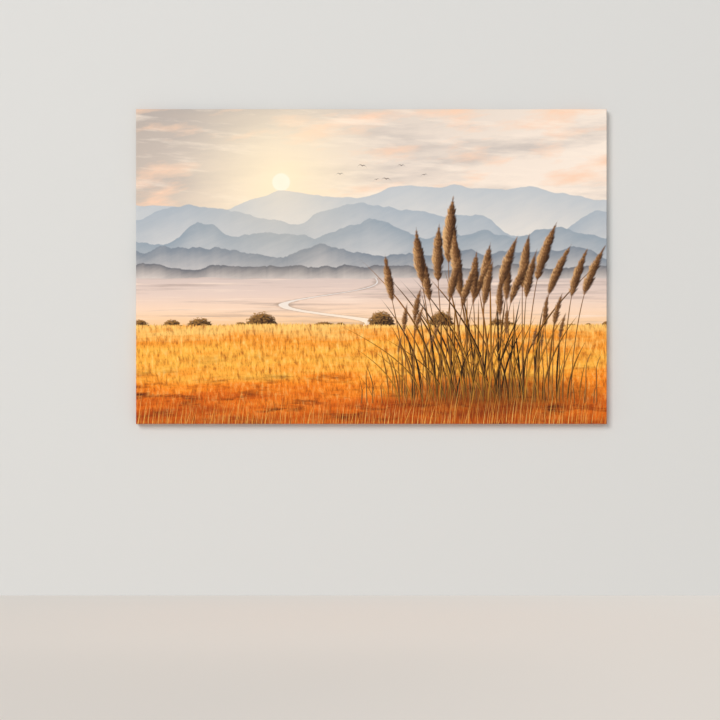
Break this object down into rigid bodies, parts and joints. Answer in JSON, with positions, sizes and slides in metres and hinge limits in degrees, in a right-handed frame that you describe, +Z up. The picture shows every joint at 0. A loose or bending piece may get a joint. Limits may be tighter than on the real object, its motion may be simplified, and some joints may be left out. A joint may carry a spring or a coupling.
{
  "type": "stretched canvas wall print",
  "caption": "Large frameless landscape print on canvas, wrapped over a mitred pine stretcher frame with braces, corner keys and serrated hanging plates.",
  "frame": {"origin": "centre of the middle hanging plate's flat back face, which lies on the wall", "axes": "+X to the right of somebody who looks at the picture, +Y into the wall, +Z up"},
  "size_m": [2.4, 0.0429, 1.605],
  "materials": {
    "printed_canvas": "cotton canvas with a matt printed face that wraps over the sides",
    "raw_canvas": "unprinted back of the cotton canvas",
    "pine": "planed pine, no varnish",
    "beech": "sawn beech, no varnish",
    "zinc_steel": "zinc-plated pressed steel",
    "rubber": "matt black pads"
  },
  "bodies": {
    "root": {"bar_top": "pine", "bar_bottom": "pine", "bar_left": "pine", "bar_right": "pine", "brace_upright_left": "pine", "brace_upright_right": "pine", "brace_cross": "pine", "key_top_left_lying": "beech", "key_top_left_standing": "beech", "key_top_right_lying": "beech", "key_top_right_standing": "beech", "key_bottom_left_lying": "beech", "key_bottom_left_standing": "beech", "key_bottom_right_lying": "beech", "key_bottom_right_standing": "beech", "canvas_front": "printed_canvas", "canvas_side_top": "printed_canvas", "canvas_side_bottom": "printed_canvas", "canvas_side_left": "printed_canvas", "canvas_side_right": "printed_canvas", "canvas_flap_top": "printed_canvas", "canvas_flap_bottom": "printed_canvas", "canvas_flap_left": "printed_canvas", "canvas_flap_right": "printed_canvas", "hanger_left": "zinc_steel", "screw_left_a": "zinc_steel", "screw_left_b": "zinc_steel", "hanger_middle": "zinc_steel", "screw_middle_a": "zinc_steel", "screw_middle_b": "zinc_steel", "hanger_right": "zinc_steel", "screw_right_a": "zinc_steel", "screw_right_b": "zinc_steel", "bumper_left": "rubber", "bumper_right": "rubber"}
  },
  "joints": []
}
